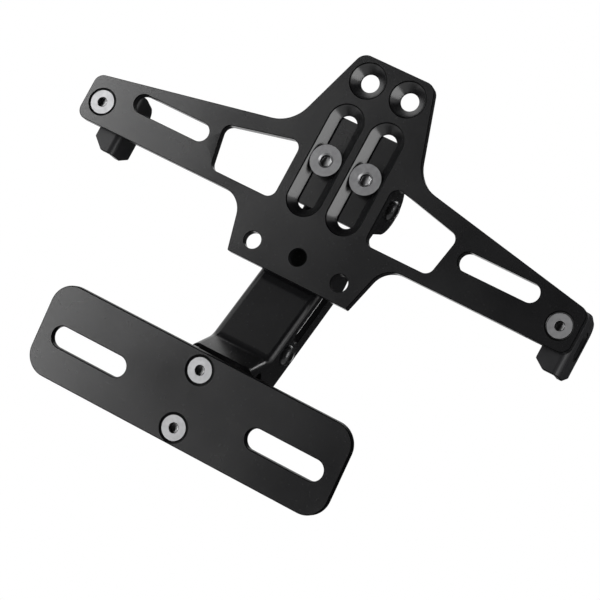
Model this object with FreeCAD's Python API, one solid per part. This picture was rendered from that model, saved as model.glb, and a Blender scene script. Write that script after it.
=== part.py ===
import FreeCAD, Part
import math
import os

# Adjustable tail tidy: a rear bracket for a motorbike that carries the number plate and
# the two rear indicators. It is cut and folded from aluminium sheet and screwed together.
# All sizes are in millimetres and degrees. The front faces -Y and +Z is up. The origin is
# on the back face of the main plate, halfway between the two holes in its top tab.

# Main plate: one flat cross-shaped sheet. Heights are measured from the tab holes.
plate_thickness = 5.0
tab_hole_spacing = 22.0
tab_hole_diameter = 9.0
tab_rise = 11.5
tab_half_width = 20.0
tab_corner_radius = 6.0
shoulder_half_width = 35.1
shoulder_drop = 33.7
shoulder_radius = 18.0
wing_half_span = 136.4
wing_tip_top_drop = 53.1
wing_bottom_drop = 76.0
wing_corner_radius = 5.0
block_half_width_top = 40.1
block_half_width_bottom = 33.1
block_bottom_drop = 102.0
block_fillet_radius = 12.0
block_corner_radius = 0.8

# Windows that lighten the wings beside the middle.
window_inner_half_gap = 25.6
window_bottom_drop = 70.7
window_bottom_width = 35.1
window_top_width = 39.5
window_inner_top_drop = 39.5
window_outer_top_drop = 48.4
window_corner_radius = 4.5

# Long level slots in the wings.
wing_slot_length = 42.5
wing_slot_width = 9.6
wing_slot_centre = 91.0
wing_slot_drop = 57.0

# Three plain holes near the bottom edge.
bottom_hole_diameter = 8.5
bottom_hole_spacing = 48.4
bottom_hole_drop = 92.4
bottom_middle_hole_drop = 90.3

# Upright adjusting slots with a bevel for countersunk heads.
adjuster_slot_spacing = 22.0
adjuster_slot_travel = 41.0
adjuster_slot_drop = 43.0
adjuster_slot_width = 9.0
bevel_width = 18.0

# Screws and nuts.
large_thread = 8.0
large_head = 16.0
large_socket = 5.0
large_screw_length = 16.0
small_thread = 6.0
small_head = 12.0
small_socket = 4.0
button_head = 10.5
button_height = 3.3
socket_depth = 2.2
nut_flats = 10.0
nut_height = 5.0
nut_collar_height = 1.2
nut_collar_diameter = 8.6
thread_end = 1.2
washer_diameter = 11.0
washer_thickness = 1.2

# Clearances.
head_gap = 0.6
flush_gap = 0.2
hole_clearance = 0.2
thread_clearance = 0.05
pin_clearance = 0.06
slide_gap = 0.2
pivot_gap = 0.3
lock_slot_clearance = 0.3
countersink_clearance = 0.1

# Folded sheet.
fold_sheet = 3.0
fold_radius = 0.6

# Indicator brackets: the left and right ones are the same pressing, fitted the same way.
indicator_screw_inset = 9.3
indicator_screw_drop = 64.8
indicator_tab_height = 19.0
indicator_strip_height = 32.7
indicator_strip_drop = 4.4
indicator_strip_width = 13.5
indicator_strip_chamfer_width = 5.2
indicator_strip_chamfer_height = 3.5
indicator_leg_offset = 9.2
indicator_leg_depth = 20.0
indicator_top_corner_radius = 6.5
indicator_top_chamfer_depth = 14.0
indicator_top_chamfer_height = 2.4
indicator_bottom_chamfer_depth = 9.0
indicator_bottom_chamfer_height = 3.2
indicator_hole_height = 14.5
indicator_hole_width = 8.5
indicator_hole_depth = 12.5
indicator_hole_drop = 2.6

# Upper bracket, which slides on the main plate and carries the upper hinge.
upper_height = 46.0
upper_pivot_depth = 24.5
upper_pivot_drop = 4.0
upper_end_radius = 13.0
nut_plate_height = 16.0
nut_plate_thickness = 6.0
nut_plate_side_gap = 0.8

# Arm: a folded channel that hangs from the upper hinge.
arm_width = 33.0
arm_depth = 22.0
arm_tilt = 22.5
arm_eye_radius = 9.0
arm_web_ahead = 0.8
arm_web_start = 27.5
arm_web_end = 101.5
arm_neck_length = 22.5
arm_full_depth_start = 38.5
arm_edge_radius = 8.0
lower_pivot_along = 89.9
lower_pivot_behind_web = 9.5
foot_radius = 33.0
foot_reach = 11.2
foot_corner_below_web = 13.5
foot_blank_margin = 3.0
foot_fillet_radius = 8.0
lightening_slot_width = 7.5
lightening_slot_length = 33.0
lightening_slot_end_gap = 7.4

# Lower bracket, which swings on the lower hinge inside the arm.
holder_tilt = 11.45
holder_reach = 48.0
holder_top_drop = 10.3
holder_height = 43.0
holder_lobe_radius = 6.0
holder_neck_drop = 11.4
holder_notch_reach = 28.0
holder_notch_drop = 15.4
holder_notch_radius = 2.0
holder_shoulder_reach = 36.0
holder_back_offset = 11.0
holder_inner_radius = 3.0
holder_corner_radius = 4.0
lock_radius = 25.7
lock_angle = 44.5
lock_swing_up = 13.4
lock_swing_down = 19.6

# Number plate bracket.
carrier_width = 162.0
carrier_height = 45.2
carrier_thickness = 4.0
carrier_corner_radius = 11.0
carrier_centre_drop = 31.3
carrier_slot_spacing = 106.6
carrier_slot_length = 40.5
carrier_slot_width = 10.2
carrier_slot_drop = 2.0
carrier_upper_screw_rise = 14.2
carrier_screw_spacing = 29.0

# Sizes that follow from the ones above.
plate_back = 0.0
plate_front = plate_back - plate_thickness
wing_tip_top = -wing_tip_top_drop
indicator_screw_centre = wing_half_span - indicator_screw_inset
flush_countersink_radius = small_head / 2 + flush_gap + countersink_clearance
upper_centre_z = -adjuster_slot_drop
upper_base_front = plate_back + slide_gap
upper_base_back = upper_base_front + fold_sheet
upper_inner = arm_width / 2 + pivot_gap
upper_outer = upper_inner + fold_sheet
upper_pivot_y = plate_back + slide_gap + upper_pivot_depth
upper_pivot_z = upper_centre_z - upper_pivot_drop
arm_outer = arm_width / 2
arm_inner = arm_outer - fold_sheet
arm_web_front = -arm_web_ahead
arm_back = arm_web_front + arm_depth
lower_pivot_y = arm_web_front + lower_pivot_behind_web
lower_pivot_z = -lower_pivot_along
holder_outer = arm_inner - pivot_gap
holder_inner = holder_outer - fold_sheet
holder_front = -holder_reach
carrier_front = holder_front - carrier_thickness
carrier_centre_z = -carrier_centre_drop
bend_outer = fold_radius + fold_sheet
origin = FreeCAD.Vector(0, 0, 0)
across = FreeCAD.Vector(1, 0, 0)
backward = FreeCAD.Vector(0, 1, 0)
upward = FreeCAD.Vector(0, 0, 1)


# Drawing helpers
def front_view(p, q):
    """Point drawn on a plane seen from the front."""
    return FreeCAD.Vector(p, 0, q)


def side_view(p, q):
    """Point drawn on a plane seen from the side: p runs backward and q up."""
    return FreeCAD.Vector(0, p, q)


def plan_view(p, q):
    """Point drawn on a plane seen from above: p runs to the right and q backward."""
    return FreeCAD.Vector(p, q, 0)


def rounded_face(corners, view):
    """Flat face through corners given as p, q and corner radius."""
    edges = []
    ends = []
    count = len(corners)
    for index in range(count):
        p, q, radius = corners[index]
        before = corners[index - 1]
        after = corners[(index + 1) % count]
        corner = view(p, q)
        to_before = (view(before[0], before[1]) - corner).normalize()
        to_after = (view(after[0], after[1]) - corner).normalize()
        if radius <= 0:
            ends.append((corner, corner, corner))
            continue
        half_angle = to_before.getAngle(to_after) / 2
        run = radius / math.tan(half_angle)
        middle_line = (to_before + to_after).normalize()
        inset = radius / math.sin(half_angle) - radius
        start = corner + to_before * run
        finish = corner + to_after * run
        ends.append((start, corner + middle_line * inset, finish))
    for index in range(count):
        start, middle, finish = ends[index]
        if start.distanceToPoint(finish) > 1e-6:
            edges.append(Part.Arc(start, middle, finish).toShape())
        following = ends[(index + 1) % count][0]
        if finish.distanceToPoint(following) > 1e-6:
            edges.append(Part.LineSegment(finish, following).toShape())
    return Part.Face(Part.Wire(edges))


def front_sheet(corners, front, thickness):
    """Sheet cut to an outline seen from the front."""
    face = rounded_face(corners, front_view)
    face.translate(backward * front)
    return face.extrude(backward * thickness)


def side_sheet(corners, left, thickness):
    """Sheet cut to an outline seen from the side."""
    face = rounded_face(corners, side_view)
    face.translate(across * left)
    return face.extrude(across * thickness)


def channel(half_width, front, back, bottom, top):
    """Sheet folded to a U with its web in front, standing upright."""
    inside = half_width - fold_sheet
    section = [
        (-half_width, back, 0),
        (-half_width, front, bend_outer),
        (half_width, front, bend_outer),
        (half_width, back, 0),
        (inside, back, 0),
        (inside, front + fold_sheet, fold_radius),
        (-inside, front + fold_sheet, fold_radius),
        (-inside, back, 0),
    ]
    face = rounded_face(section, plan_view)
    face.translate(upward * bottom)
    return face.extrude(upward * (top - bottom))


def level_slot(length, width, p, q, front, thickness):
    """Round-ended slot that runs left to right, as a tool for cutting."""
    half = length / 2
    end = width / 2
    corners = [
        (p - half, q - end, end),
        (p + half, q - end, end),
        (p + half, q + end, end),
        (p - half, q + end, end),
    ]
    return front_sheet(corners, front, thickness)


def pin_along_y(radius, x, z, front, length):
    """Round bar that points backward."""
    return Part.makeCylinder(radius, length, FreeCAD.Vector(x, front, z), backward)


def pin_along_x(radius, y, z, left, length):
    """Round bar that points to the right."""
    return Part.makeCylinder(radius, length, FreeCAD.Vector(left, y, z), across)


def countersink(large_radius, small_radius, x, z, front):
    """Cone that opens to the front, with walls at 45 degrees."""
    depth = large_radius - small_radius
    start = FreeCAD.Vector(x, front, z)
    return Part.makeCone(large_radius, small_radius, depth, start, backward)


def tangent_point(radius, p, q, side):
    """Point where a line from p, q touches a circle about the drawing's zero point."""
    distance = math.hypot(p, q)
    turn = math.atan2(q, p) + side * math.acos(radius / distance)
    return radius * math.cos(turn), radius * math.sin(turn)


def moved(shape, y, z, tilt):
    """Copy of a shape, tipped about its own zero point and carried to y, z."""
    copy = shape.copy()
    copy.rotate(origin, across, tilt)
    copy.translate(FreeCAD.Vector(0, y, z))
    return copy


def on_arm(shape):
    """Shape drawn on the upright arm, carried to where the arm hangs."""
    return moved(shape, upper_pivot_y, upper_pivot_z, -arm_tilt)


def lower_pivot():
    """Place of the lower hinge, from the upper hinge and the tilt of the arm."""
    turn = math.radians(-arm_tilt)
    y = lower_pivot_y * math.cos(turn) - lower_pivot_z * math.sin(turn)
    z = lower_pivot_y * math.sin(turn) + lower_pivot_z * math.cos(turn)
    return upper_pivot_y + y, upper_pivot_z + z


def on_holder(shape):
    """Shape drawn on the upright holder, carried to where the holder swings."""
    y, z = lower_pivot()
    return moved(shape, y, z, holder_tilt)


# Fasteners, drawn with the head's seat at zero and the thread along +Z
def hexagon(flats, height):
    """Six-sided bar standing on zero."""
    reach = flats / math.sqrt(3)
    points = []
    for step in range(7):
        turn = math.radians(60 * step)
        points.append(FreeCAD.Vector(reach * math.cos(turn), reach * math.sin(turn), 0))
    return Part.Face(Part.makePolygon(points)).extrude(upward * height)


def revolved(edges):
    """Solid turned about Z from edges drawn in the XZ plane."""
    face = Part.Face(Part.Wire(edges))
    return face.revolve(origin, upward, 360)


def turned_profile(points):
    """Solid turned about Z from straight runs through radius and height pairs."""
    corners = [FreeCAD.Vector(radius, 0, height) for radius, height in points]
    corners.append(corners[0])
    return revolved(Part.makePolygon(corners).Edges)


def countersunk_screw(thread, head, socket, length):
    """Flat-headed screw: the top of the head is at zero and the thread points up."""
    thread_radius = thread / 2
    head_radius = head / 2
    chamfer = thread / 12
    body = turned_profile([
        (0, 0),
        (head_radius, 0),
        (thread_radius, head_radius - thread_radius),
        (thread_radius, length - chamfer),
        (thread_radius - chamfer, length),
        (0, length),
    ])
    return body.cut(hexagon(socket, socket_depth))


def button_screw(length):
    """Round-headed screw: the seat of the head is at zero and the thread points up."""
    head_radius = button_head / 2
    thread_radius = small_thread / 2
    chamfer = small_thread / 12
    rim = button_height / 5
    flat = small_socket / 2 + rim
    points = [
        FreeCAD.Vector(0, 0, -button_height),
        FreeCAD.Vector(flat, 0, -button_height),
        FreeCAD.Vector(head_radius, 0, -rim),
        FreeCAD.Vector(head_radius, 0, 0),
        FreeCAD.Vector(thread_radius, 0, 0),
        FreeCAD.Vector(thread_radius, 0, length - chamfer),
        FreeCAD.Vector(thread_radius - chamfer, 0, length),
        FreeCAD.Vector(0, 0, length),
    ]
    chord = (points[1] + points[2]) * 0.5
    bulge = (head_radius - flat) / 6
    crown = chord + FreeCAD.Vector(bulge, 0, -bulge)
    edges = [Part.LineSegment(points[0], points[1]).toShape()]
    edges.append(Part.Arc(points[1], crown, points[2]).toShape())
    for index in range(2, len(points)):
        following = points[(index + 1) % len(points)]
        edges.append(Part.LineSegment(points[index], following).toShape())
    recess = hexagon(small_socket, socket_depth)
    recess.translate(upward * -button_height)
    return revolved(edges).cut(recess)


def lock_nut():
    """Hexagon nut with a low round collar, seated at zero and pointing up."""
    reach = nut_flats / math.sqrt(3)
    bevel = reach - nut_flats / 2
    blank = turned_profile([
        (0, 0),
        (nut_flats / 2, 0),
        (reach, bevel / 2),
        (reach, nut_height - bevel / 2),
        (nut_flats / 2, nut_height),
        (0, nut_height),
    ])
    body = blank.common(hexagon(nut_flats, nut_height))
    collar = Part.makeCylinder(nut_collar_diameter / 2, nut_height + nut_collar_height)
    bore = Part.makeCylinder(small_thread / 2 + thread_clearance, nut_height + nut_collar_height)
    return body.fuse(collar).cut(bore).removeSplitter()


def pointing_back(shape, x, y, z):
    """Fastener turned so that its thread points backward, with its zero at x, y, z."""
    copy = shape.copy()
    copy.rotate(origin, across, -90)
    copy.translate(FreeCAD.Vector(x, y, z))
    return copy


def pointing_in(shape, side, x, y, z):
    """Fastener on one side, turned so that its thread points to the middle."""
    copy = shape.copy()
    copy.rotate(origin, backward, -90 * side)
    copy.translate(FreeCAD.Vector(side * x, y, z))
    return copy


# Main plate
def main_plate_outline():
    """Cross-shaped outline, right half first and then its mirror image."""
    right = [
        (tab_half_width, tab_rise, tab_corner_radius),
        (shoulder_half_width, -shoulder_drop, shoulder_radius),
        (wing_half_span, wing_tip_top, wing_corner_radius),
        (wing_half_span, -wing_bottom_drop, wing_corner_radius),
        (block_half_width_top, -wing_bottom_drop, block_fillet_radius),
        (block_half_width_bottom, -block_bottom_drop, block_corner_radius),
    ]
    left = [(-p, q, radius) for p, q, radius in reversed(right)]
    return right + left


def window_outline(side):
    """Four-sided window on one side of the middle."""
    inner = window_inner_half_gap
    outline = [
        (inner, -window_bottom_drop, window_corner_radius),
        (inner + window_bottom_width, -window_bottom_drop, window_corner_radius),
        (inner + window_top_width, -window_outer_top_drop, window_corner_radius),
        (inner, -window_inner_top_drop, window_corner_radius),
    ]
    return [(side * p, q, radius) for p, q, radius in outline]


def adjuster_slot(x):
    """Upright slot whose front edge is bevelled for the cone of a screw head."""
    half = adjuster_slot_travel / 2
    low = upper_centre_z - half
    narrow = adjuster_slot_width / 2
    wide = bevel_width / 2
    depth = wide - narrow
    through = [
        (x - narrow, low - narrow, narrow),
        (x + narrow, low - narrow, narrow),
        (x + narrow, low + 2 * half + narrow, narrow),
        (x - narrow, low + 2 * half + narrow, narrow),
    ]
    tool = front_sheet(through, plate_front, plate_thickness)
    bevel_section = Part.makePolygon([
        FreeCAD.Vector(x - wide, plate_front, low),
        FreeCAD.Vector(x + wide, plate_front, low),
        FreeCAD.Vector(x + narrow, plate_front + depth, low),
        FreeCAD.Vector(x - narrow, plate_front + depth, low),
        FreeCAD.Vector(x - wide, plate_front, low),
    ])
    tool = tool.fuse(Part.Face(bevel_section).extrude(upward * adjuster_slot_travel))
    for end in (low, low + adjuster_slot_travel):
        tool = tool.fuse(countersink(wide, narrow, x, end, plate_front))
    return tool


def main_plate():
    """Flat plate with its windows, slots, countersunk holes and plain holes."""
    body = front_sheet(main_plate_outline(), plate_front, plate_thickness)
    for side in (-1, 1):
        body = body.cut(front_sheet(window_outline(side), plate_front, plate_thickness))
        slot_x = side * wing_slot_centre
        body = body.cut(level_slot(wing_slot_length, wing_slot_width, slot_x, -wing_slot_drop,
                                   plate_front, plate_thickness))
        body = body.cut(adjuster_slot(side * adjuster_slot_spacing / 2))
        tab_x = side * tab_hole_spacing / 2
        body = body.cut(pin_along_y(tab_hole_diameter / 2, tab_x, 0, plate_front, plate_thickness))
        body = body.cut(countersink(bevel_width / 2, tab_hole_diameter / 2, tab_x, 0, plate_front))
        bottom_x = side * bottom_hole_spacing / 2
        body = body.cut(pin_along_y(bottom_hole_diameter / 2, bottom_x, -bottom_hole_drop,
                                    plate_front, plate_thickness))
        screw_x = side * indicator_screw_centre
        body = body.cut(pin_along_y(small_thread / 2 + hole_clearance, screw_x,
                                    -indicator_screw_drop, plate_front, plate_thickness))
        body = body.cut(countersink(flush_countersink_radius,
                                    small_thread / 2, screw_x, -indicator_screw_drop,
                                    plate_front))
    return body.cut(pin_along_y(bottom_hole_diameter / 2, 0, -bottom_middle_hole_drop,
                                plate_front, plate_thickness))


# Indicator brackets
def indicator_bracket(side):
    """L-shaped bracket behind a wing tip, with an open leg for the indicator's stem."""
    x = side * indicator_screw_centre
    z = -indicator_screw_drop
    half_tab = indicator_tab_height / 2
    strip_z = z - indicator_strip_drop
    half_strip = indicator_strip_height / 2
    leg_outside = x + indicator_leg_offset
    leg_back = plate_back + indicator_leg_depth
    tab = front_sheet([
        (leg_outside - bend_outer, z - half_tab, 0),
        (leg_outside - bend_outer, z + half_tab, 0),
        (x - half_tab, z + half_tab, half_tab),
        (x - half_tab, z - half_tab, half_tab),
    ], plate_back, fold_sheet)
    section = rounded_face([
        (leg_outside - indicator_strip_width, plate_back, 0),
        (leg_outside, plate_back, bend_outer),
        (leg_outside, leg_back, 0),
        (leg_outside - fold_sheet, leg_back, 0),
        (leg_outside - fold_sheet, plate_back + fold_sheet, fold_radius),
        (leg_outside - indicator_strip_width, plate_back + fold_sheet, 0),
    ], plan_view)
    section.translate(upward * (strip_z - half_strip))
    folded = section.extrude(upward * indicator_strip_height)
    profile = side_sheet([
        (plate_back, strip_z - half_strip, 0),
        (leg_back - indicator_bottom_chamfer_depth, strip_z - half_strip, 0),
        (leg_back, strip_z - half_strip + indicator_bottom_chamfer_height, 0),
        (leg_back, strip_z + half_strip - indicator_top_chamfer_height,
         indicator_top_corner_radius),
        (leg_back - indicator_top_chamfer_depth, strip_z + half_strip,
         indicator_top_corner_radius),
        (plate_back, strip_z + half_strip, 0),
    ], leg_outside - indicator_strip_width, indicator_strip_width)
    inside = leg_outside - indicator_strip_width
    front_outline = front_sheet([
        (inside + indicator_strip_chamfer_width, strip_z - half_strip, 0),
        (leg_outside, strip_z - half_strip, 0),
        (leg_outside, strip_z + half_strip, 0),
        (inside, strip_z + half_strip, 0),
        (inside, strip_z - half_strip + indicator_strip_chamfer_height, 0),
    ], plate_back, indicator_leg_depth)
    body = folded.common(profile).common(front_outline).fuse(tab)
    screw_hole = pin_along_y(small_thread / 2 + hole_clearance, x, z, plate_back, fold_sheet)
    hole_z = z - indicator_hole_drop
    half_hole = indicator_hole_height / 2
    end = indicator_hole_width / 2
    depth = plate_back + indicator_hole_depth
    stem_hole = side_sheet([
        (depth - end, hole_z - half_hole, end),
        (depth + end, hole_z - half_hole, end),
        (depth + end, hole_z + half_hole, end),
        (depth - end, hole_z + half_hole, end),
    ], leg_outside - fold_sheet, fold_sheet)
    return body.cut(screw_hole).cut(stem_hole).removeSplitter()


def indicator_washer(side):
    """Flat washer between an indicator bracket and its nut."""
    x = side * indicator_screw_centre
    z = -indicator_screw_drop
    seat = plate_back + fold_sheet
    disc = pin_along_y(washer_diameter / 2, x, z, seat, washer_thickness)
    return disc.cut(pin_along_y(small_thread / 2 + hole_clearance, x, z, seat, washer_thickness))


def indicator_screw(side):
    """Flat-headed screw that ties an indicator bracket to the wing tip."""
    grip = plate_thickness + fold_sheet + washer_thickness + nut_height + nut_collar_height
    screw = countersunk_screw(small_thread, small_head, small_socket, grip + thread_end)
    x = side * indicator_screw_centre
    return pointing_back(screw, x, plate_front + flush_gap, -indicator_screw_drop)


def indicator_nut(side):
    """Lock nut behind the washer."""
    seat = plate_back + fold_sheet + washer_thickness
    return pointing_back(lock_nut(), side * indicator_screw_centre, seat, -indicator_screw_drop)


# Upper bracket, its screws and nut plate
def upper_bracket():
    """U-shaped bracket whose ears taper to a round end about the upper hinge."""
    half = upper_height / 2
    top = upper_centre_z + half
    bottom = upper_centre_z - half
    back = upper_pivot_y + upper_end_radius
    corner_y = upper_base_back - upper_pivot_y
    top_y, top_z = tangent_point(upper_end_radius, corner_y, top - upper_pivot_z, -1)
    low_y, low_z = tangent_point(upper_end_radius, corner_y, bottom - upper_pivot_z, 1)
    left = -upper_outer
    width = 2 * upper_outer
    outline = side_sheet([
        (upper_base_front, bottom, 0),
        (upper_base_front, top, 0),
        (upper_base_back, top, 0),
        (upper_pivot_y + top_y, upper_pivot_z + top_z, 0),
        (upper_pivot_y + low_y, upper_pivot_z + low_z, 0),
        (upper_base_back, bottom, 0),
    ], left, width)
    round_end = pin_along_x(upper_end_radius, upper_pivot_y, upper_pivot_z, left, width)
    body = channel(upper_outer, upper_base_front, back, bottom, top)
    body = body.common(outline.fuse(round_end))
    for side in (-1, 1):
        body = body.cut(pin_along_y(large_thread / 2 + hole_clearance,
                                    side * adjuster_slot_spacing / 2, upper_centre_z,
                                    upper_base_front, fold_sheet))
    hinge_hole = pin_along_x(small_thread / 2 + hole_clearance, upper_pivot_y, upper_pivot_z,
                             left, width)
    return body.cut(hinge_hole).removeSplitter()


def nut_plate():
    """Thick tapped bar behind the upper bracket that takes both slot screws."""
    half_width = upper_inner - nut_plate_side_gap
    half_height = nut_plate_height / 2
    corner = large_thread / 4
    body = front_sheet([
        (-half_width, upper_centre_z - half_height, corner),
        (half_width, upper_centre_z - half_height, corner),
        (half_width, upper_centre_z + half_height, corner),
        (-half_width, upper_centre_z + half_height, corner),
    ], upper_base_back, nut_plate_thickness)
    for side in (-1, 1):
        body = body.cut(pin_along_y(large_thread / 2 + thread_clearance,
                                    side * adjuster_slot_spacing / 2, upper_centre_z,
                                    upper_base_back, nut_plate_thickness))
    return body


def slot_screw(side):
    """Large flat-headed screw that clamps the upper bracket through its slot."""
    screw = countersunk_screw(large_thread, large_head, large_socket, large_screw_length)
    sunk = plate_front + head_gap
    return pointing_back(screw, side * adjuster_slot_spacing / 2, sunk, upper_centre_z)


def upper_hinge_screw(side):
    """Button-headed hinge screw, through an ear into the arm."""
    grip = upper_outer - arm_inner + pivot_gap + nut_height + nut_collar_height + thread_end
    return pointing_in(button_screw(grip), side, upper_outer, upper_pivot_y, upper_pivot_z)


def upper_hinge_nut(side):
    """Lock nut inside the arm at the upper hinge."""
    seat = arm_inner - pivot_gap
    return pointing_in(lock_nut(), side, seat, upper_pivot_y, upper_pivot_z)


# Arm and the lower hinge
def foot_corner():
    """Front corner of the foot, where the web ends after it has turned forward."""
    return arm_web_front - foot_reach, -arm_web_end - foot_corner_below_web


def arm_outline():
    """Side outline of the arm as it hangs upright, from its eye to its foot."""
    foot_blank = lower_pivot_z - foot_radius - foot_blank_margin
    web_top = -arm_web_start
    eye_y, eye_z = tangent_point(arm_eye_radius, arm_web_front, web_top, -1)
    corner_y, corner_z = foot_corner()
    return [
        (arm_eye_radius, 0, 0),
        (arm_eye_radius, -arm_neck_length, arm_edge_radius),
        (arm_back, -arm_full_depth_start, arm_edge_radius),
        (arm_back, foot_blank, 0),
        (corner_y + foot_blank_margin, foot_blank, 0),
        (corner_y, corner_z, 0),
        (arm_web_front, -arm_web_end, foot_fillet_radius),
        (arm_web_front, web_top, 0),
        (eye_y, eye_z, 0),
        (-eye_y, -eye_z, 0),
    ]


def web_band():
    """The web between the flanges: straight down, then turned forward to the foot's corner."""
    corner_y, corner_z = foot_corner()
    turn = math.atan2(foot_reach, foot_corner_below_web)
    inner_y = arm_web_front + fold_sheet
    inner_z = -arm_web_end - fold_sheet * math.tan(turn / 2)
    end_y = corner_y + fold_sheet * math.cos(turn)
    end_z = corner_z - fold_sheet * math.sin(turn)
    return side_sheet([
        (arm_web_front, -arm_web_start, 0),
        (arm_web_front, -arm_web_end, foot_fillet_radius),
        (corner_y, corner_z, 0),
        (end_y, end_z, 0),
        (inner_y, inner_z, foot_fillet_radius + fold_sheet),
        (inner_y, -arm_web_start, 0),
    ], -arm_inner, 2 * arm_inner)


def front_fold_edges(block):
    """Edges of the arm's block where the web meets the outside of the flanges."""
    chosen = []
    lowest = foot_corner()[1]
    for edge in block.Edges:
        box = edge.BoundBox
        on_side = box.XLength < 0.001 and abs(abs(box.XMin) - arm_outer) < 0.001
        in_front = box.YMax < arm_web_front + 0.001
        between = box.ZMin > lowest - 0.001 and box.ZMax < -arm_web_start + 0.001
        if on_side and in_front and between:
            chosen.append(edge)
    return chosen


def lock_slot():
    """Curved slot about the lower hinge, as a tool for cutting both flanges."""
    middle = math.radians(lock_angle - holder_tilt - arm_tilt)
    first = middle - math.radians(lock_swing_down)
    last = middle + math.radians(lock_swing_up)
    end_radius = small_thread / 2 + lock_slot_clearance

    def at(radius, turn):
        y = lower_pivot_y - radius * math.sin(turn)
        z = lower_pivot_z - radius * math.cos(turn)
        return FreeCAD.Vector(-arm_outer, y, z)

    def cap(turn, outward):
        side_turn = turn + outward * end_radius / lock_radius
        return at(lock_radius, side_turn)

    outer = lock_radius + end_radius
    inner = lock_radius - end_radius
    edges = [
        Part.Arc(at(outer, first), at(outer, middle), at(outer, last)).toShape(),
        Part.Arc(at(outer, last), cap(last, 1), at(inner, last)).toShape(),
        Part.Arc(at(inner, last), at(inner, middle), at(inner, first)).toShape(),
        Part.Arc(at(inner, first), cap(first, -1), at(outer, first)).toShape(),
    ]
    return Part.Face(Part.Wire(edges)).extrude(across * arm_width)


def arm():
    """Folded channel with a narrow eye above and a flared round foot below."""
    left = -arm_outer
    block = side_sheet(arm_outline(), left, arm_width)
    block = block.makeFillet(bend_outer, front_fold_edges(block))
    eye = pin_along_x(arm_eye_radius, 0, 0, left, arm_width)
    block = block.fuse(eye)
    below = Part.makeBox(arm_width, 4 * foot_radius, 2 * foot_radius)
    below.translate(FreeCAD.Vector(left, lower_pivot_y - 2 * foot_radius,
                                   lower_pivot_z - 2 * foot_radius))
    round_foot = pin_along_x(foot_radius, lower_pivot_y, lower_pivot_z, left, arm_width)
    block = block.cut(below.cut(round_foot))
    hollow = Part.makeBox(2 * arm_inner, 8 * foot_radius, 8 * foot_radius)
    hollow.translate(FreeCAD.Vector(-arm_inner, -4 * foot_radius, -6 * foot_radius))
    body = block.cut(hollow.cut(web_band()))
    body = body.cut(pin_along_x(small_thread / 2 + pin_clearance, 0, 0, left, arm_width))
    hinge_hole_radius = small_thread / 2 + hole_clearance
    body = body.cut(pin_along_x(hinge_hole_radius, lower_pivot_y, lower_pivot_z, left,
                                arm_width))
    left_hole = FreeCAD.Vector(left, lower_pivot_y, lower_pivot_z)
    body = body.cut(Part.makeCone(flush_countersink_radius, hinge_hole_radius,
                                  flush_countersink_radius - hinge_hole_radius,
                                  left_hole, across))
    slot_bottom = lower_pivot_z + lightening_slot_end_gap
    end = lightening_slot_width / 2
    body = body.cut(side_sheet([
        (lower_pivot_y - end, slot_bottom, end),
        (lower_pivot_y + end, slot_bottom, end),
        (lower_pivot_y + end, slot_bottom + lightening_slot_length, end),
        (lower_pivot_y - end, slot_bottom + lightening_slot_length, end),
    ], left, arm_width))
    return on_arm(body.cut(lock_slot()).removeSplitter())


def lower_hinge_screw(side):
    """Hinge screw into the lower bracket: button head on the right, flat head on the left."""
    grip = arm_outer - holder_inner + pivot_gap + nut_height + nut_collar_height
    if side > 0:
        screw = button_screw(grip)
        seat = arm_outer
    else:
        screw = countersunk_screw(small_thread, small_head, small_socket, grip - flush_gap)
        seat = arm_outer - flush_gap
    return on_arm(pointing_in(screw, side, seat, lower_pivot_y, lower_pivot_z))


def lower_hinge_nut(side):
    """Lock nut inside the lower bracket at the lower hinge."""
    seat = holder_inner - pivot_gap
    return on_arm(pointing_in(lock_nut(), side, seat, lower_pivot_y, lower_pivot_z))


# Lower bracket, number plate bracket and their fasteners, drawn from the lower hinge
def carrier_screw_heights():
    """Heights of the two screws that join the number plate bracket to the lower bracket."""
    upper = carrier_centre_z + carrier_upper_screw_rise
    return upper, upper - carrier_screw_spacing


def lower_bracket():
    """U-shaped bracket with lobes that reach up to the lower hinge."""
    top = -holder_top_drop
    bottom = top - holder_height
    back_y = -holder_back_offset
    rear_y, rear_z = tangent_point(holder_lobe_radius, back_y, bottom, 1)
    left = -holder_outer
    width = 2 * holder_outer
    outline = side_sheet([
        (holder_front, bottom, 0),
        (holder_front, top, 0),
        (-holder_shoulder_reach, top, holder_notch_radius),
        (-holder_notch_reach, -holder_notch_drop, holder_notch_radius),
        (-holder_lobe_radius, -holder_neck_drop, holder_inner_radius),
        (-holder_lobe_radius, 0, 0),
        (rear_y, rear_z, 0),
        (back_y, bottom, holder_corner_radius),
    ], left, width)
    lobe = pin_along_x(holder_lobe_radius, 0, 0, left, width)
    body = channel(holder_outer, holder_front, holder_lobe_radius, bottom, holder_lobe_radius)
    body = body.common(outline.fuse(lobe))
    body = body.cut(pin_along_x(small_thread / 2 + pin_clearance, 0, 0, left, width))
    lock_y, lock_z = lock_place()
    body = body.cut(pin_along_x(small_thread / 2 + hole_clearance, lock_y, lock_z, left, width))
    for height in carrier_screw_heights():
        body = body.cut(pin_along_y(small_thread / 2 + hole_clearance, 0, height,
                                    holder_front, fold_sheet))
    return on_holder(body.removeSplitter())


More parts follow.
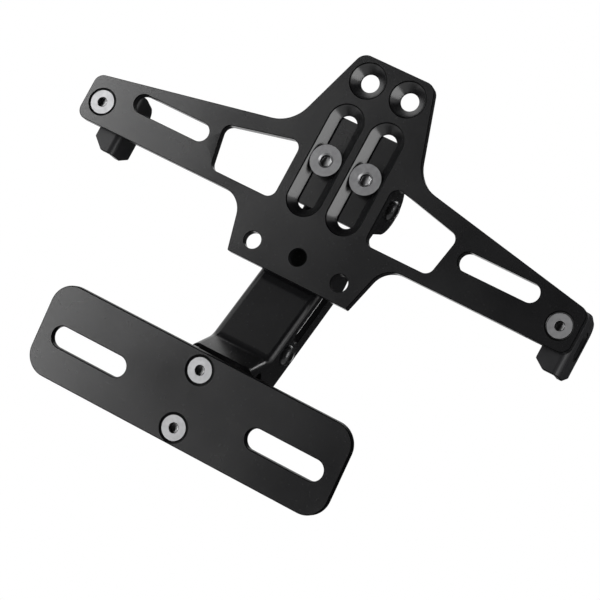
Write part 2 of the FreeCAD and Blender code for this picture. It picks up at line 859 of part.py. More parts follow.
def number_plate_bracket():
    """Flat bracket with two level slots for the number plate's screws."""
    half_width = carrier_width / 2
    half_height = carrier_height / 2
    middle = carrier_centre_z
    body = front_sheet([
        (-half_width, middle - half_height, carrier_corner_radius),
        (half_width, middle - half_height, carrier_corner_radius),
        (half_width, middle + half_height, carrier_corner_radius),
        (-half_width, middle + half_height, carrier_corner_radius),
    ], carrier_front, carrier_thickness)
    for side in (-1, 1):
        body = body.cut(level_slot(carrier_slot_length, carrier_slot_width,
                                   side * carrier_slot_spacing / 2,
                                   middle - carrier_slot_drop, carrier_front,
                                   carrier_thickness))
    for height in carrier_screw_heights():
        body = body.cut(pin_along_y(small_thread / 2 + hole_clearance, 0, height,
                                    carrier_front, carrier_thickness))
        body = body.cut(countersink(flush_countersink_radius,
                                    small_thread / 2, 0, height, carrier_front))
    return on_holder(body)


def carrier_screw(height):
    """Flat-headed screw through the number plate bracket and the lower bracket."""
    grip = carrier_thickness + fold_sheet + nut_height + nut_collar_height
    screw = countersunk_screw(small_thread, small_head, small_socket, grip + thread_end)
    return on_holder(pointing_back(screw, 0, carrier_front + flush_gap, height))


def carrier_nut(height):
    """Lock nut behind the lower bracket."""
    return on_holder(pointing_back(lock_nut(), 0, holder_front + fold_sheet, height))


def lock_place():
    """Place of the lock screws on the upright lower bracket."""
    turn = math.radians(lock_angle)
    return -lock_radius * math.sin(turn), -lock_radius * math.cos(turn)


def lock_screw(side):
    """Screw that rides in the arm's curved slot and clamps the lower bracket."""
    y, z = lock_place()
    seat = arm_outer + pivot_gap
    grip = seat - holder_inner + nut_height + nut_collar_height + thread_end
    return on_holder(pointing_in(button_screw(grip), side, seat, y, z))


def lock_nut_inside(side):
    """Lock nut on the inner face of the lower bracket's ear."""
    y, z = lock_place()
    return on_holder(pointing_in(lock_nut(), side, holder_inner, y, z))


# Build every piece
def build():
    """All pieces of the bracket by name."""
    pieces = {}
    pieces["main_plate"] = main_plate()
    pieces["upper_bracket"] = upper_bracket()
    pieces["nut_plate"] = nut_plate()
    pieces["arm"] = arm()
    pieces["lower_bracket"] = lower_bracket()
    pieces["number_plate_bracket"] = number_plate_bracket()
    for name, side in (("left", -1), ("right", 1)):
        pieces["indicator_bracket_" + name] = indicator_bracket(side)
        pieces["indicator_screw_" + name] = indicator_screw(side)
        pieces["indicator_washer_" + name] = indicator_washer(side)
        pieces["indicator_nut_" + name] = indicator_nut(side)
        pieces["slot_screw_" + name] = slot_screw(side)
        pieces["upper_hinge_screw_" + name] = upper_hinge_screw(side)
        pieces["upper_hinge_nut_" + name] = upper_hinge_nut(side)
        pieces["lower_hinge_screw_" + name] = lower_hinge_screw(side)
        pieces["lower_hinge_nut_" + name] = lower_hinge_nut(side)
        pieces["lock_screw_" + name] = lock_screw(side)
        pieces["lock_nut_" + name] = lock_nut_inside(side)
    for name, height in zip(("upper", "lower"), carrier_screw_heights()):
        pieces["carrier_screw_" + name] = carrier_screw(height)
        pieces["carrier_nut_" + name] = carrier_nut(height)
    return pieces


os.makedirs("parts", exist_ok=True)
for name, shape in build().items():
    shape.exportStep("parts/" + name + ".step")
    print(name, len(shape.Solids), "solid, valid", shape.isValid(), "volume", round(shape.Volume, 1))
y, z = lower_pivot()
print("upper hinge", round(upper_pivot_y, 3), round(upper_pivot_z, 3))
print("lower hinge", round(y, 3), round(z, 3))
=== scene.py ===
import bmesh
import bpy
import math
import numpy as np
from mathutils import Matrix, Vector


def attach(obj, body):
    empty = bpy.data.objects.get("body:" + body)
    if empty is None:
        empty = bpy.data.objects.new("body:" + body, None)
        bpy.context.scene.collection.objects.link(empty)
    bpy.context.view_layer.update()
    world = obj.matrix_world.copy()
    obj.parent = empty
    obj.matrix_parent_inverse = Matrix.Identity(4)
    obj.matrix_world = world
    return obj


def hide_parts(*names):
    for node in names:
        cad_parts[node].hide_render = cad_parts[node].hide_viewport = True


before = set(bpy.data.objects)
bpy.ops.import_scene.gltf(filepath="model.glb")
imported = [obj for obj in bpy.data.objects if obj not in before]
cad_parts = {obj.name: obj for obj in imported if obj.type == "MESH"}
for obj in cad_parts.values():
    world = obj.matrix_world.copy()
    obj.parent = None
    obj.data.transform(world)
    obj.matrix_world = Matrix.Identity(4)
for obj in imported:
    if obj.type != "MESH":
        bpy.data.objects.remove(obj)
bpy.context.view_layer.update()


# Main plate
# Flat 5 mm aluminium sheet, cut by laser, with the slot and hole bevels milled afterwards.
# The sheet is anodised satin black and screwed to the tail. Its bevels and the left screw's
# countersink carry painted shade, a near-black colour.
def new_group(name, inputs, outputs):
    """Empty node group with float or colour sockets given as name and kind pairs."""
    group = bpy.data.node_groups.new(name, "ShaderNodeTree")
    for label, kind in inputs:
        group.interface.new_socket(name=label, in_out="INPUT", socket_type=kind)
    for label, kind in outputs:
        group.interface.new_socket(name=label, in_out="OUTPUT", socket_type=kind)
    enter = group.nodes.new("NodeGroupInput")
    leave = group.nodes.new("NodeGroupOutput")
    return group, enter, leave


def cloudy_value():
    """Group: soft cloudy value between low and high, from one broad noise."""
    group, enter, leave = new_group(
        "cloudy_value",
        [("Scale", "NodeSocketFloat"), ("Low", "NodeSocketFloat"), ("High", "NodeSocketFloat")],
        [("Value", "NodeSocketFloat")])
    where = group.nodes.new("ShaderNodeTexCoord")
    broad = group.nodes.new("ShaderNodeTexNoise")
    broad.inputs["Detail"].default_value = 4
    spread = group.nodes.new("ShaderNodeMapRange")
    spread.inputs["From Min"].default_value = 0.3
    spread.inputs["From Max"].default_value = 0.7
    group.links.new(where.outputs["Object"], broad.inputs["Vector"])
    group.links.new(enter.outputs["Scale"], broad.inputs["Scale"])
    group.links.new(broad.outputs["Fac"], spread.inputs["Value"])
    group.links.new(enter.outputs["Low"], spread.inputs["To Min"])
    group.links.new(enter.outputs["High"], spread.inputs["To Max"])
    group.links.new(spread.outputs["Result"], leave.inputs["Value"])
    return group


def fine_grain():
    """Group: normal of a fine etched grain, with a few long faint scratches laid over it."""
    group, enter, leave = new_group(
        "fine_grain",
        [("Grain scale", "NodeSocketFloat"), ("Strength", "NodeSocketFloat")],
        [("Normal", "NodeSocketVector"), ("Dust", "NodeSocketFloat")])
    where = group.nodes.new("ShaderNodeTexCoord")
    grain = group.nodes.new("ShaderNodeTexNoise")
    grain.inputs["Detail"].default_value = 3
    stretch = group.nodes.new("ShaderNodeMapping")
    stretch.inputs["Rotation"].default_value = (0.2, 0.5, 0.7)
    stretch.inputs["Scale"].default_value = (60, 900, 500)
    scratch = group.nodes.new("ShaderNodeTexNoise")
    scratch.inputs["Scale"].default_value = 1
    scratch.inputs["Detail"].default_value = 1
    few = group.nodes.new("ShaderNodeMapRange")
    few.inputs["From Min"].default_value = 0.66
    few.inputs["From Max"].default_value = 0.74
    add = group.nodes.new("ShaderNodeMath")
    add.operation = "MULTIPLY_ADD"
    add.inputs[1].default_value = -0.35
    bump = group.nodes.new("ShaderNodeBump")
    bump.inputs["Distance"].default_value = 0.00004
    specks = group.nodes.new("ShaderNodeTexVoronoi")
    specks.inputs["Scale"].default_value = 420
    dots = group.nodes.new("ShaderNodeMapRange")
    dots.inputs["From Min"].default_value = 0.10
    dots.inputs["From Max"].default_value = 0.05
    links = group.links
    links.new(where.outputs["Object"], grain.inputs["Vector"])
    links.new(enter.outputs["Grain scale"], grain.inputs["Scale"])
    links.new(where.outputs["Object"], stretch.inputs["Vector"])
    links.new(stretch.outputs["Vector"], scratch.inputs["Vector"])
    links.new(scratch.outputs["Fac"], few.inputs["Value"])
    links.new(few.outputs["Result"], add.inputs[0])
    links.new(grain.outputs["Fac"], add.inputs[2])
    links.new(add.outputs["Value"], bump.inputs["Height"])
    links.new(enter.outputs["Strength"], bump.inputs["Strength"])
    links.new(bump.outputs["Normal"], leave.inputs["Normal"])
    links.new(where.outputs["Object"], specks.inputs["Vector"])
    links.new(specks.outputs["Distance"], dots.inputs["Value"])
    links.new(dots.outputs["Result"], leave.inputs["Dust"])
    return group


cloudy = cloudy_value()
grainy = fine_grain()


def metal_surface(name, dark, light, metallic, rough_low, rough_high, cloud_scale, grain, bump,
                  specular=0.5):
    """Surface whose colour and gloss drift between two values, with the fine grain on top."""
    dust_roughness = 0.12
    tint_scale = cloud_scale * 2.7
    material = bpy.data.materials.new(name)
    material.use_nodes = True
    tree = material.node_tree
    shader = tree.nodes["Principled BSDF"]
    shader.inputs["Metallic"].default_value = metallic
    shader.inputs["Specular IOR Level"].default_value = specular
    gloss = tree.nodes.new("ShaderNodeGroup")
    gloss.node_tree = cloudy
    gloss.inputs["Scale"].default_value = cloud_scale
    gloss.inputs["Low"].default_value = rough_low
    gloss.inputs["High"].default_value = rough_high
    tint = tree.nodes.new("ShaderNodeGroup")
    tint.node_tree = cloudy
    tint.inputs["Scale"].default_value = tint_scale
    tint.inputs["Low"].default_value = 0
    tint.inputs["High"].default_value = 1
    surface = tree.nodes.new("ShaderNodeGroup")
    surface.node_tree = grainy
    surface.inputs["Grain scale"].default_value = grain
    surface.inputs["Strength"].default_value = bump
    colour = tree.nodes.new("ShaderNodeMix")
    colour.data_type = "RGBA"
    colour.inputs["A"].default_value = (*dark, 1)
    colour.inputs["B"].default_value = (*light, 1)
    dusty = tree.nodes.new("ShaderNodeMath")
    dusty.operation = "MULTIPLY_ADD"
    dusty.inputs[1].default_value = dust_roughness
    links = tree.links
    links.new(tint.outputs["Value"], colour.inputs["Factor"])
    links.new(colour.outputs["Result"], shader.inputs["Base Color"])
    links.new(surface.outputs["Dust"], dusty.inputs[0])
    links.new(gloss.outputs["Value"], dusty.inputs[2])
    links.new(dusty.outputs["Value"], shader.inputs["Roughness"])
    links.new(surface.outputs["Normal"], shader.inputs["Normal"])
    return material


black_anodised = metal_surface("black_anodised", (0.0035, 0.0035, 0.004), (0.006, 0.006, 0.0065),
                               0.0, 0.225, 0.28, 22, 2600, 0.3, 0.5)
# Near-black, almost unreflecting colour painted on bevels and cut sides as shade, which draws a
# dark line along the edges.
painted_shade_edge = metal_surface("painted_shade_edge", (0.0012, 0.0012, 0.0013), (0.002, 0.002, 0.0021),
                            0.0, 0.30, 0.38, 60, 3000, 0.25, 0.04)
# Near-black, matt colour painted on countersink cones as shade, so the gap around a sunk head
# reads dark.
painted_shade_cone = metal_surface("painted_shade_cone", (0.001, 0.001, 0.001), (0.0016, 0.0016, 0.0016),
                            0.0, 0.42, 0.50, 60, 3000, 0.25, 0.08)


def mesh_points(mesh):
    """Rows of the vertices' places in a mesh."""
    points = np.empty(len(mesh.vertices) * 3)
    mesh.vertices.foreach_get("co", points)
    return points.reshape(-1, 3)


def middle_of(node, unit):
    """Middle of a piece's extent along a unit vector and along two that cross it."""
    points = mesh_points(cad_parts[node].data)
    side = np.array((1.0, 0.0, 0.0)) if abs(unit[0]) < 0.9 else np.array((0.0, 0.0, 1.0))
    middle = np.zeros(3)
    for ray in (unit, side, np.cross(unit, side)):
        reach = points @ ray
        middle += ray * (reach.max() + reach.min()) / 2
    return middle


def finish_sheet(piece, cones, axis, sides):
    """Give a sheet's cut sides the material in a slot; in slot 1 that is painted shade, a
    near-black edge colour. Carry the front rims of the screws' countersinks out by a uniform step,
    and give each cone the material in its own slot; in slot 2 that is painted shade, a near-black
    cone."""
    rim_radius = 0.0063
    rim_match = 0.00008
    rim_step = 0.0005
    cone_reach = 0.0068
    mesh = piece.data
    points = mesh_points(mesh)
    unit = np.array(axis)
    middles = np.empty(len(mesh.polygons) * 3)
    mesh.polygons.foreach_get("center", middles)
    middles = middles.reshape(-1, 3)
    normals = np.empty(len(mesh.polygons) * 3)
    mesh.polygons.foreach_get("normal", normals)
    facing = np.abs(normals.reshape(-1, 3) @ unit)
    indices = np.where(facing < 0.1, sides, 0).astype(np.int32)
    for screw, slot in cones.items():
        centre = middle_of(screw, unit)
        offset = points - centre
        offset = offset - (offset @ unit)[:, None] * unit
        reach = np.linalg.norm(offset, axis=1)
        rim = np.abs(reach - rim_radius) < rim_match
        points[rim] += offset[rim] / reach[rim][:, None] * rim_step
        away = middles - centre
        away = away - (away @ unit)[:, None] * unit
        indices[(facing < 0.9) & (np.linalg.norm(away, axis=1) < cone_reach)] = slot
    mesh.vertices.foreach_set("co", points.reshape(-1))
    mesh.polygons.foreach_set("material_index", indices)
    mesh.update()


def dressed(node, body, surfaces, edge, segments=2, merge=2e-6):
    """Copy of a CAD node, merged and cleaned, whose sharp edges are broken by a small bevel.
    Only small faces are shaded smooth, so the broad ones stay flat."""
    largest_smooth = 2.5e-4
    flat_angle = math.radians(0.6)
    sharp_angle = math.radians(28)
    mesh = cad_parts[node].data.copy()
    work = bmesh.new()
    work.from_mesh(mesh)
    bmesh.ops.remove_doubles(work, verts=work.verts, dist=merge)
    bmesh.ops.dissolve_degenerate(work, dist=1e-6, edges=work.edges)
    bmesh.ops.recalc_face_normals(work, faces=work.faces)
    bmesh.ops.dissolve_limit(work, angle_limit=flat_angle, verts=work.verts, edges=work.edges)
    work.to_mesh(mesh)
    work.free()
    mesh.materials.clear()
    for surface in surfaces:
        mesh.materials.append(surface)
    mesh.polygons.foreach_set("material_index", np.zeros(len(mesh.polygons), dtype=np.int32))
    areas = np.empty(len(mesh.polygons))
    mesh.polygons.foreach_get("area", areas)
    mesh.polygons.foreach_set("use_smooth", areas < largest_smooth)
    piece = bpy.data.objects.new(node + "_finished", mesh)
    bpy.context.scene.collection.objects.link(piece)
    bevel = piece.modifiers.new("broken_edges", "BEVEL")
    bevel.width = edge
    bevel.segments = segments
    bevel.limit_method = "ANGLE"
    bevel.angle_limit = sharp_angle
    bevel.use_clamp_overlap = len(surfaces) == 1
    # With a second surface, the bevel takes it: a near-black, almost unreflecting colour painted
    # as shade along the edges.
    if len(surfaces) > 1:
        bevel.material = 1
    level = piece.modifiers.new("flat_faces", "WEIGHTED_NORMAL")
    level.mode = "FACE_AREA"
    level.weight = 100
    level.keep_sharp = True
    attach(piece, body)
    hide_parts(node)
    return piece


main_plate = dressed("main_plate", "plate", [black_anodised, painted_shade_edge, painted_shade_cone],
                     0.00035)
finish_sheet(main_plate, {"indicator_screw_left": 2, "indicator_screw_right": 0}, (0, 1, 0), 0)

# Indicator brackets
# Two like L-shaped pressings of 3 mm coated sheet, screwed behind the wing tips. The leg
# that stands backward has an upright slot for the indicator's threaded stem. The left one
# is drawn further inboard than its solid, as the photograph has it.
def draw_inboard(piece, screw, shift, trim):
    """Lengthen a bracket's tab: all beyond the rim of the screw hole moves by the shift.
    The strip's outer side moves on by the trim, and its lower corner is cut larger."""
    hole_rim = 0.0042
    corner_drop = 0.012
    corner_rise = 0.0016
    corner_inset = 0.0014
    centre = middle_of(screw, np.array((0.0, 1.0, 0.0)))
    points = mesh_points(piece.data)
    across = points[:, 0] - centre[0]
    at_hole = np.hypot(across, points[:, 2] - centre[2]) < hole_rim
    beyond = (across > -0.0044) & ~at_hole
    outer_side = beyond & (across < -hole_rim)
    lower = points[:, 2] < centre[2] - corner_drop
    points[beyond, 0] += shift
    points[outer_side, 0] += trim
    points[outer_side & lower, 2] += corner_rise
    points[lower & (across < 0.002) & ~outer_side, 0] += corner_inset
    piece.data.vertices.foreach_set("co", points.reshape(-1))
    piece.data.update()


coated = metal_surface("coated_black", (0.012, 0.012, 0.013), (0.019, 0.019, 0.020),
                       0.0, 0.36, 0.46, 40, 1800, 0.45, 0.22)
for side in ("left", "right"):
    bracket = dressed("indicator_bracket_" + side, "plate", [coated, painted_shade_edge], 0.0004)
    if side == "left":
        draw_inboard(bracket, "indicator_screw_left", 0.0067, 0.0007)

# Upper bracket
# A U folded from 3 mm aluminium sheet, anodised black. Two large screws clamp its web to the
# back of the main plate through the upright slots, and its round ears carry the upper hinge.
fold_edge = 0.0003
fold_merge = 6e-5
upper_bracket = dressed("upper_bracket", "carriage", [black_anodised, painted_shade_edge], fold_edge,
                        merge=fold_merge)

# Arm
# A channel folded from 3 mm aluminium sheet, anodised black. It is narrow at the upper hinge
# and flared at the foot, where curved slots let the number plate bracket tilt.
arm = dressed("arm", "arm", [black_anodised, painted_shade_edge], fold_edge, merge=fold_merge)

# Lower bracket
# A U folded from 3 mm aluminium sheet, anodised black. It swings inside the foot of the arm
# on two lobes, and two screws in the arm's curved slots lock it.
lower_bracket = dressed("lower_bracket", "holder", [black_anodised, painted_shade_edge], fold_edge,
                        merge=fold_merge)

# Number plate bracket
# Flat 4 mm aluminium sheet, anodised black, with round corners and two level slots. Its cut sides,
# bevels and countersink cones carry painted shade, a near-black colour. Two countersunk screws
# hold it to the lower bracket.
plate_bracket = dressed("number_plate_bracket", "holder",
                        [black_anodised, painted_shade_edge, painted_shade_cone], 0.0005)
holder_tilt = 11.45


def tilted(angle):
    """Unit vector that points backward, tipped up by an angle in degrees."""
    return (0, math.cos(math.radians(angle)), math.sin(math.radians(angle)))


finish_sheet(plate_bracket, {"carrier_screw_upper": 2, "carrier_screw_lower": 2},
             tilted(holder_tilt), 1)

# Screws
# Steel screws, cold headed with a hexagon socket and rolled threads. The bright flat-headed
# ones sit in countersinks, the two large ones are greyer, and the blackened round-headed
# ones hold the hinges and the lock.
# The bright steel also paints a highlight on the large heads' socket chamfers; the black steel
# also paints shade on the socket walls and on the flat heads' rims.
bright_steel_and_highlight = metal_surface("bright_steel_and_highlight", (0.24, 0.24, 0.245), (0.29, 0.29, 0.295),
                             1.0, 0.40, 0.48, 160, 5200, 0.3)
black_steel_and_shade = metal_surface("black_steel_and_shade", (0.016, 0.016, 0.017), (0.034, 0.034, 0.035),
                            0.6, 0.18, 0.26, 160, 5200, 0.3)


def hexagon_reach(turn):
    """Distance to the side of a hexagon with a half width of one, in each direction."""
    return 1 / np.cos((turn + math.pi / 6) % (math.pi / 3) - math.pi / 6)


def ringed_surface(radius, height, hexness, pitch, depth, around=72):
    """Grid of rings along a profile, closed at both ends.
    Ring k lies at height[k]. Its radius is radius[k], drawn out to a hexagon by hexness[k].
    On threaded rings, the radius drops by depth times a triangle wave of height / pitch
    less turn / full circle, which is a helix."""
    turn = np.linspace(0, 2 * math.pi, around, endpoint=False)[None, :]
    ring = radius[:, None] * (1 + hexness[:, None] * (hexagon_reach(turn) - 1))
    wave = np.abs(((height[:, None] / pitch - turn / (2 * math.pi)) % 1) * 2 - 1)
    ring = ring - depth[:, None] * wave
    x = ring * np.cos(turn)
    y = ring * np.sin(turn)
    z = np.broadcast_to(height[:, None], x.shape)
    points = np.stack([x, y, z], axis=-1).reshape(-1, 3)
    rows = len(radius)
    first = np.arange(rows - 1)[:, None] * around + np.arange(around)[None, :]
    second = np.arange(rows - 1)[:, None] * around + (np.arange(around)[None, :] + 1) % around
    faces = np.stack([first, second, second + around, first + around], axis=-1).reshape(-1, 4)
    return points, faces


def mesh_piece(name, points, faces, surfaces, shades, body, nodes):
    """Object from arrays of points and four-sided faces, merged at its poles. Shades are
    the numbers of the surfaces that the bands of faces have, one for each ring."""
    sharpest_smooth = math.radians(24)
    mesh = bpy.data.meshes.new(name)
    mesh.from_pydata(points, [], faces)
    around = len(points) // len(shades)
    indices = np.repeat(np.asarray(shades[:-1], dtype=np.int32), around)
    mesh.polygons.foreach_set("material_index", indices)
    work = bmesh.new()
    work.from_mesh(mesh)
    bmesh.ops.remove_doubles(work, verts=work.verts, dist=1e-7)
    bmesh.ops.recalc_face_normals(work, faces=work.faces)
    work.to_mesh(mesh)
    work.free()
    for surface in surfaces:
        mesh.materials.append(surface)
    mesh.shade_smooth()
    mesh.set_sharp_from_angle(angle=sharpest_smooth)
    piece = bpy.data.objects.new(name, mesh)
    bpy.context.scene.collection.objects.link(piece)
    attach(piece, body)
    if nodes:
        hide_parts(*nodes)
    return piece


def along(profile):
    """Columns of a profile given as radius, height, hexness, thread depth and shade rows."""
    return [np.array(column, dtype=float) for column in zip(*profile)]


def screw_rings(head, socket, socket_depth, thread, length, pitch, lead_in):
    """Profile of a screw from the bottom of its socket, over its head, to its tip."""
    root = 0.54 * pitch
    half = socket / 2
    drill_point = socket * 0.1
    step = 0.0001
    rim_round = 0.00003
    # The socket's floor takes surface 2, a painted grey; its walls and top edge take surface 1,
    # painted shade.
    inside = [
        (0, socket_depth + drill_point, 0, 0, 2),
        (half * 0.96, socket_depth, 1, 0, 2),
        (half, socket_depth - step, 1, 0, 1),
        (half, lead_in + step, 1, 0, 1),
        (half + rim_round, lead_in + rim_round, 1, 0, 1),
    ]
    tip = length - thread / 12
    start = head[-1][1]
    steps = max(8, int((tip - start) / pitch * 12))
    shank = [(thread / 2, start + (tip - start) * k / steps, 0,
              root * min(1, k / 12, (steps - k) / 6 + 0.35), 0) for k in range(1, steps + 1)]
    end = [(thread / 2 - root, length, 0, 0, 0), (0, length, 0, 0, 0)]
    top = head[0][1]
    inside = [(r, top + h, x, d, s) for r, h, x, d, s in inside]
    # The lead-in band takes surface 3, a painted highlight, on large screws, else surface 2, the
    # painted grey.
    ring = 3 if lead_in > 0.0003 else 2
    rim = [(socket * 0.59, top + lead_in, 0, 0, ring),
           (socket * 0.59 + lead_in, top, 0, 0, 0), (socket * 0.60 + lead_in, top, 0, 0, 0)]
    return along(inside + rim + head + shank + end)


def flat_head(head, thread, lip):
    """Flat head with a fine rounded rim, wider by a lip, over a cone of 90 degrees."""
    edge = 0.0002
    radius = head / 2 + lip
    cone = head / 2 - thread / 2
    return [
        (radius - edge * 1.1, 0, 0, 0, 0),
        # Rim rows marked 1 take painted shade, a dark ring around the sunk head.
        (radius - edge, 0, 0, 0, 1),
        (radius - edge * 0.45, edge * 0.25, 0, 0, 1),
        (radius - edge * 0.2, edge * 0.7, 0, 0, 1),
        (radius - edge * 0.25, edge, 0, 0, 0),
        (head / 2 - edge * 1.5, edge + 0.0001, 0, 0, 0),
        (thread / 2 + 0.0002, cone - 0.0002, 0, 0, 0),
        (thread / 2, cone + 0.0003, 0, 0, 0),
    ]


def button_head(head, height, thread, flat):
    """Domed head: a quarter wave from its flat crown to its short upright rim."""
    rows = [(flat, -height, 0, 0, 0)]
    rim = height / 5
    steps = 14
    for step in range(1, steps + 1):
        turn = step / steps * math.pi / 2
        rows.append((flat + (head / 2 - flat) * math.sin(turn),
                     -rim - (height - rim) * math.cos(turn) ** 1.3, 0, 0, 0))
    rows += [(head / 2, -0.0002, 0, 0, 0), (head / 2 - 0.0002, 0, 0, 0, 0),
             (thread / 2, 0, 0, 0, 0), (thread / 2, 0.0006, 0, 0, 0)]
    return rows


def placed(points, centre, direction, turn):
    """Points drawn about +Z, turned about it and laid along a direction from a centre."""
    rotation = Vector((0, 0, 1)).rotation_difference(Vector(direction)).to_matrix()
    spin = Matrix.Rotation(turn, 3, "Z")
    return points @ np.array(rotation @ spin).T + np.array(centre)


def seat_of(node, direction, from_start):
    """Point on a turned piece's axis at its first or last reach along a direction."""
    corners = mesh_points(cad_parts[node].data)
    unit = np.array(direction)
    reach = corners @ unit
    flat = corners - reach[:, None] * unit
    middle = (flat.max(axis=0) + flat.min(axis=0)) / 2
    middle = middle - (middle @ unit) * unit
    return middle + unit * (reach.min() if from_start else reach.max())


m8_flat = (0.0160, 0.0080, 0.0050, 0.00125)
m6_flat = (0.0120, 0.0060, 0.0042, 0.0010)
large_head = 0.014
large_lead_in = 0.0008
small_lead_in = 0.0001
flat_socket_depth = 0.0028
sink_lip = 0.00015
steel_turns = np.random.default_rng(12).uniform(0, math.pi / 3, 40)
grey_steel = metal_surface("grey_steel", (0.13, 0.13, 0.133), (0.17, 0.17, 0.173),
                           1.0, 0.40, 0.48, 160, 5200, 0.3)
# Painted mid grey for socket floors and small lead-in bands: painted shade in the bright flat
# heads, painted light in the black round heads.
socket_shade_and_light = metal_surface("socket_shade_and_light", (0.14, 0.14, 0.142), (0.20, 0.20, 0.202),
                             0.9, 0.32, 0.42, 160, 5200, 0.3)
flat_screws = [
    ("slot_screw_left", "carriage", *m8_flat, tilted(0)),
    ("slot_screw_right", "carriage", *m8_flat, tilted(0)),
    ("indicator_screw_left", "plate", *m6_flat, tilted(0)),
    ("indicator_screw_right", "plate", *m6_flat, tilted(0)),
    ("carrier_screw_upper", "holder", *m6_flat, tilted(holder_tilt)),
    ("carrier_screw_lower", "holder", *m6_flat, tilted(holder_tilt)),
    ("lower_hinge_screw_left", "arm", *m6_flat, (1, 0, 0)),
]
for index, (node, body, head, thread, socket, pitch, direction) in enumerate(flat_screws):
    first = seat_of(node, direction, True)
    last = seat_of(node, direction, False)
    length = float(np.linalg.norm(last - first))
    in_sink = node.startswith(("indicator", "carrier"))
    lead_in = large_lead_in if head > large_head else small_lead_in
    rings = screw_rings(flat_head(head, thread, sink_lip * in_sink), socket, flat_socket_depth,
                        thread, length, pitch, lead_in)
    points, faces = ringed_surface(rings[0], rings[1], rings[2], pitch, rings[3])
    points = placed(points, first, direction, steel_turns[index])
    surface = grey_steel if head > large_head else bright_steel_and_highlight
    piece = mesh_piece(node + "_finished", points, faces,
                       [surface, black_steel_and_shade, socket_shade_and_light, bright_steel_and_highlight], rings[4], body,
                       [node])

button_screws = [("upper_hinge_screw_left", "carriage", 1),
                 ("upper_hinge_screw_right", "carriage", -1),
                 ("lower_hinge_screw_right", "arm", -1),
                 ("lock_screw_left", "holder", 1), ("lock_screw_right", "holder", -1)]
button_diameter = 0.0105
button_height = 0.0033
button_thread = 0.006
button_pitch = 0.001
button_crown = 0.00282
button_socket = 0.004
button_socket_depth = 0.0022
button_lead_in = 0.00025
for index, (node, body, sign) in enumerate(button_screws):
    direction = (sign, 0, 0)
    crown = seat_of(node, direction, True)
    last = seat_of(node, direction, False)
    seat = crown + np.array(direction) * button_height
    length = float(np.linalg.norm(last - seat))
    domed = button_head(button_diameter, button_height, button_thread, button_crown)
    rings = screw_rings(domed, button_socket, button_socket_depth, button_thread, length,
                        button_pitch, button_lead_in)
    points, faces = ringed_surface(rings[0], rings[1], rings[2], button_pitch, rings[3])
    points = placed(points, seat, direction, steel_turns[10 + index])
    # The socket floor takes the painted grey, lighter than the black head: painted light.
    piece = mesh_piece(node + "_finished", points, faces,
                       [black_steel_and_shade, black_steel_and_shade, socket_shade_and_light, bright_steel_and_highlight], rings[4], body,
                       [node])

# Nuts, washers and nut plate
# Zinc-plated steel: hexagon lock nuts with a collar that holds a nylon ring, flat washers
# under the indicator nuts, and one tapped bar that takes both slot screws.
zinc = metal_surface("zinc_plate", (0.36, 0.365, 0.37), (0.48, 0.485, 0.49),
                     1.0, 0.30, 0.44, 120, 2400, 0.4)
nylon = metal_surface("nylon_ring", (0.55, 0.55, 0.52), (0.62, 0.62, 0.58),
                      0.0, 0.45, 0.55, 200, 900, 0.2)
nut_nodes = [("indicator_nut_left", "plate"), ("indicator_nut_right", "plate"),
             ("upper_hinge_nut_left", "carriage"), ("upper_hinge_nut_right", "carriage"),
             ("lower_hinge_nut_left", "arm"), ("lower_hinge_nut_right", "arm"),
             ("lock_nut_left", "holder"), ("lock_nut_right", "holder"),
             ("carrier_nut_upper", "holder"), ("carrier_nut_lower", "holder")]
ring = along([(0.00312, -0.0006, 0, 0, 0), (0.00312, -0.00002, 0, 0, 0),
              (0.0032, 0.00003, 0, 0, 0), (0.0037, 0.00003, 0, 0, 0),
              (0.0038, -0.00002, 0, 0, 0), (0.0038, -0.0006, 0, 0, 0),
              (0.00312, -0.0006, 0, 0, 0)])
for node, body in nut_nodes:
    piece = dressed(node, body, [zinc], 0.00015)
    if node.startswith("carrier"):
        outward = tilted(holder_tilt)
    elif node.startswith("indicator"):
        outward = (0, 1, 0)
    else:
        outward = (1, 0, 0) if node.endswith("left") else (-1, 0, 0)
    top = seat_of(node, outward, False)
    points, faces = ringed_surface(ring[0], ring[1], ring[2], 1, ring[3], 48)
    points = placed(points, top - np.array(outward) * 0.00003, outward, 0)
    mesh_piece(node + "_nylon", points, faces, [nylon], ring[4], body, [])

for side in ("left", "right"):
    piece = dressed("indicator_washer_" + side, "plate", [zinc], 0.00012)
piece = dressed("nut_plate", "carriage", [zinc], 0.0004)

# Studio
# White surroundings and four soft lamps: a tall narrow one to the left, one above and
# behind, a strip to the right and a large one behind. Dark cards in front, behind and above,
# which the camera doesn't see, let the satin black fade from grey to near black.
scene = bpy.context.scene
scene.view_settings.view_transform = "Standard"
world = bpy.data.worlds.new("studio")
scene.world = world
world.use_nodes = True
tree = world.node_tree
tree.nodes.clear()
ray = tree.nodes.new("ShaderNodeLightPath")
seen = tree.nodes.new("ShaderNodeMath")
seen.operation = "MAXIMUM"
seen_all = tree.nodes.new("ShaderNodeMath")
seen_all.operation = "MAXIMUM"
plain = tree.nodes.new("ShaderNodeBackground")
plain.inputs["Color"].default_value = (1, 1, 1, 1)
plain.inputs["Strength"].default_value = 1
soft = tree.nodes.new("ShaderNodeBackground")
soft.inputs["Color"].default_value = (0.97, 0.98, 1, 1)
soft.inputs["Strength"].default_value = 0.55
either = tree.nodes.new("ShaderNodeMixShader")
leave = tree.nodes.new("ShaderNodeOutputWorld")
tree.links.new(ray.outputs["Is Camera Ray"], seen.inputs[0])
tree.links.new(ray.outputs["Is Glossy Ray"], seen.inputs[1])
tree.links.new(seen.outputs["Value"], seen_all.inputs[0])
tree.links.new(ray.outputs["Is Transmission Ray"], seen_all.inputs[1])
tree.links.new(seen_all.outputs["Value"], either.inputs["Fac"])
tree.links.new(soft.outputs["Background"], either.inputs[1])
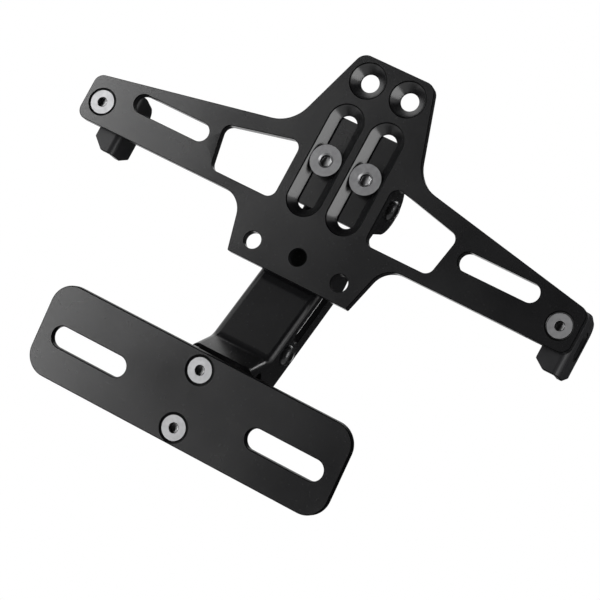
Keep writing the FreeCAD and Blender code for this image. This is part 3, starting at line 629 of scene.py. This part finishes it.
tree.links.new(plain.outputs["Background"], either.inputs[2])
tree.links.new(either.outputs["Shader"], leave.inputs["Surface"])


def soft_lamp(name, place, aim, width, height, power):
    """Rectangular area lamp at a place, turned to face a point."""
    data = bpy.data.lights.new(name, "AREA")
    data.shape = "RECTANGLE"
    data.size = width
    data.size_y = height
    data.energy = power
    lamp = bpy.data.objects.new(name, data)
    lamp.location = place
    lamp.rotation_euler = (Vector(aim) - Vector(place)).to_track_quat("-Z", "Y").to_euler()
    scene.collection.objects.link(lamp)


part_middle = (0, 0, -0.09)
soft_lamp("left_softbox", (-0.86, -1.15, -0.34), part_middle, 0.3, 1.5, 15.5)
soft_lamp("top_softbox", (0.0, 0.9, 1.1), part_middle, 0.8, 0.8, 8)
soft_lamp("right_strip", (1.1, -0.5, 0.0), part_middle, 0.55, 1.1, 9)
soft_lamp("rear_softbox", (0.35, 1.5, -0.1), part_middle, 0.9, 0.9, 18)

floor_mesh = bpy.data.meshes.new("floor")
floor_half = 6
floor_level = -1.3
floor_mesh.from_pydata([(-floor_half, -floor_half, floor_level),
                        (floor_half, -floor_half, floor_level),
                        (floor_half, floor_half, floor_level),
                        (-floor_half, floor_half, floor_level)], [], [(0, 1, 2, 3)])
floor_surface = bpy.data.materials.new("pale_floor")
floor_surface.use_nodes = True
tree = floor_surface.node_tree
floor_shader = tree.nodes["Principled BSDF"]
floor_shader.inputs["Base Color"].default_value = (0.85, 0.85, 0.85, 1)
floor_shader.inputs["Roughness"].default_value = 0.9
glow = tree.nodes.new("ShaderNodeEmission")
glow.inputs["Strength"].default_value = 1
ray = tree.nodes.new("ShaderNodeLightPath")
seen = tree.nodes.new("ShaderNodeMath")
seen.operation = "MAXIMUM"
share = tree.nodes.new("ShaderNodeMath")
share.operation = "MULTIPLY"
share.inputs[1].default_value = 0.95
either = tree.nodes.new("ShaderNodeMixShader")
tree.links.new(ray.outputs["Is Camera Ray"], seen.inputs[0])
tree.links.new(ray.outputs["Is Glossy Ray"], seen.inputs[1])
tree.links.new(seen.outputs["Value"], share.inputs[0])
tree.links.new(share.outputs["Value"], either.inputs["Fac"])
tree.links.new(floor_shader.outputs["BSDF"], either.inputs[1])
tree.links.new(glow.outputs["Emission"], either.inputs[2])
tree.links.new(either.outputs["Shader"], tree.nodes["Material Output"].inputs["Surface"])
floor_mesh.materials.append(floor_surface)
floor = bpy.data.objects.new("floor", floor_mesh)
scene.collection.objects.link(floor)

card_surface = bpy.data.materials.new("dark_card")
card_surface.use_nodes = True
card_shader = card_surface.node_tree.nodes["Principled BSDF"]
card_shader.inputs["Base Color"].default_value = (0.02, 0.02, 0.02, 1)
card_shader.inputs["Roughness"].default_value = 1
cards = {
    "front_card": [(-0.84, -1.5, -1.25), (1.6, -1.3, -1.25), (1.6, -1.3, 1.5), (-0.84, -1.5, 1.5)],
    "back_card": [(1.3, 0.5, -1.25), (-0.2, 1.2, -1.25), (-0.2, 1.2, 1.3), (1.3, 0.5, 1.3)],
    "top_card": [(-1, -1.4, 1.5), (1.2, -1.4, 1.5), (1.2, 0.3, 1.5), (-1, 0.3, 1.5)],
}
for name, corners in cards.items():
    card_mesh = bpy.data.meshes.new(name)
    card_mesh.from_pydata(corners, [], [(0, 1, 2, 3)])
    card_mesh.materials.append(card_surface)
    card = bpy.data.objects.new(name, card_mesh)
    card.visible_camera = False
    scene.collection.objects.link(card)

# Camera
# Long lens, below and to the right of the object, rolled as the photograph is.
right = Vector((0.844036, 0.252196, 0.473286)).normalized()
toward = Vector((0.325480, -0.942299, -0.078331)).normalized()
up = toward.cross(right).normalized()
focal_length = 2615.36
picture_width = 600
camera_data = bpy.data.cameras.new("camera")
camera_data.sensor_width = 36
camera_data.lens = camera_data.sensor_width * focal_length / picture_width
camera = bpy.data.objects.new("camera", camera_data)
place = Matrix((right, up, toward)).transposed().to_4x4()
place.translation = Vector((0.409985, -1.159829, -0.203740))
camera.matrix_world = place
scene.collection.objects.link(camera)
scene.camera = camera
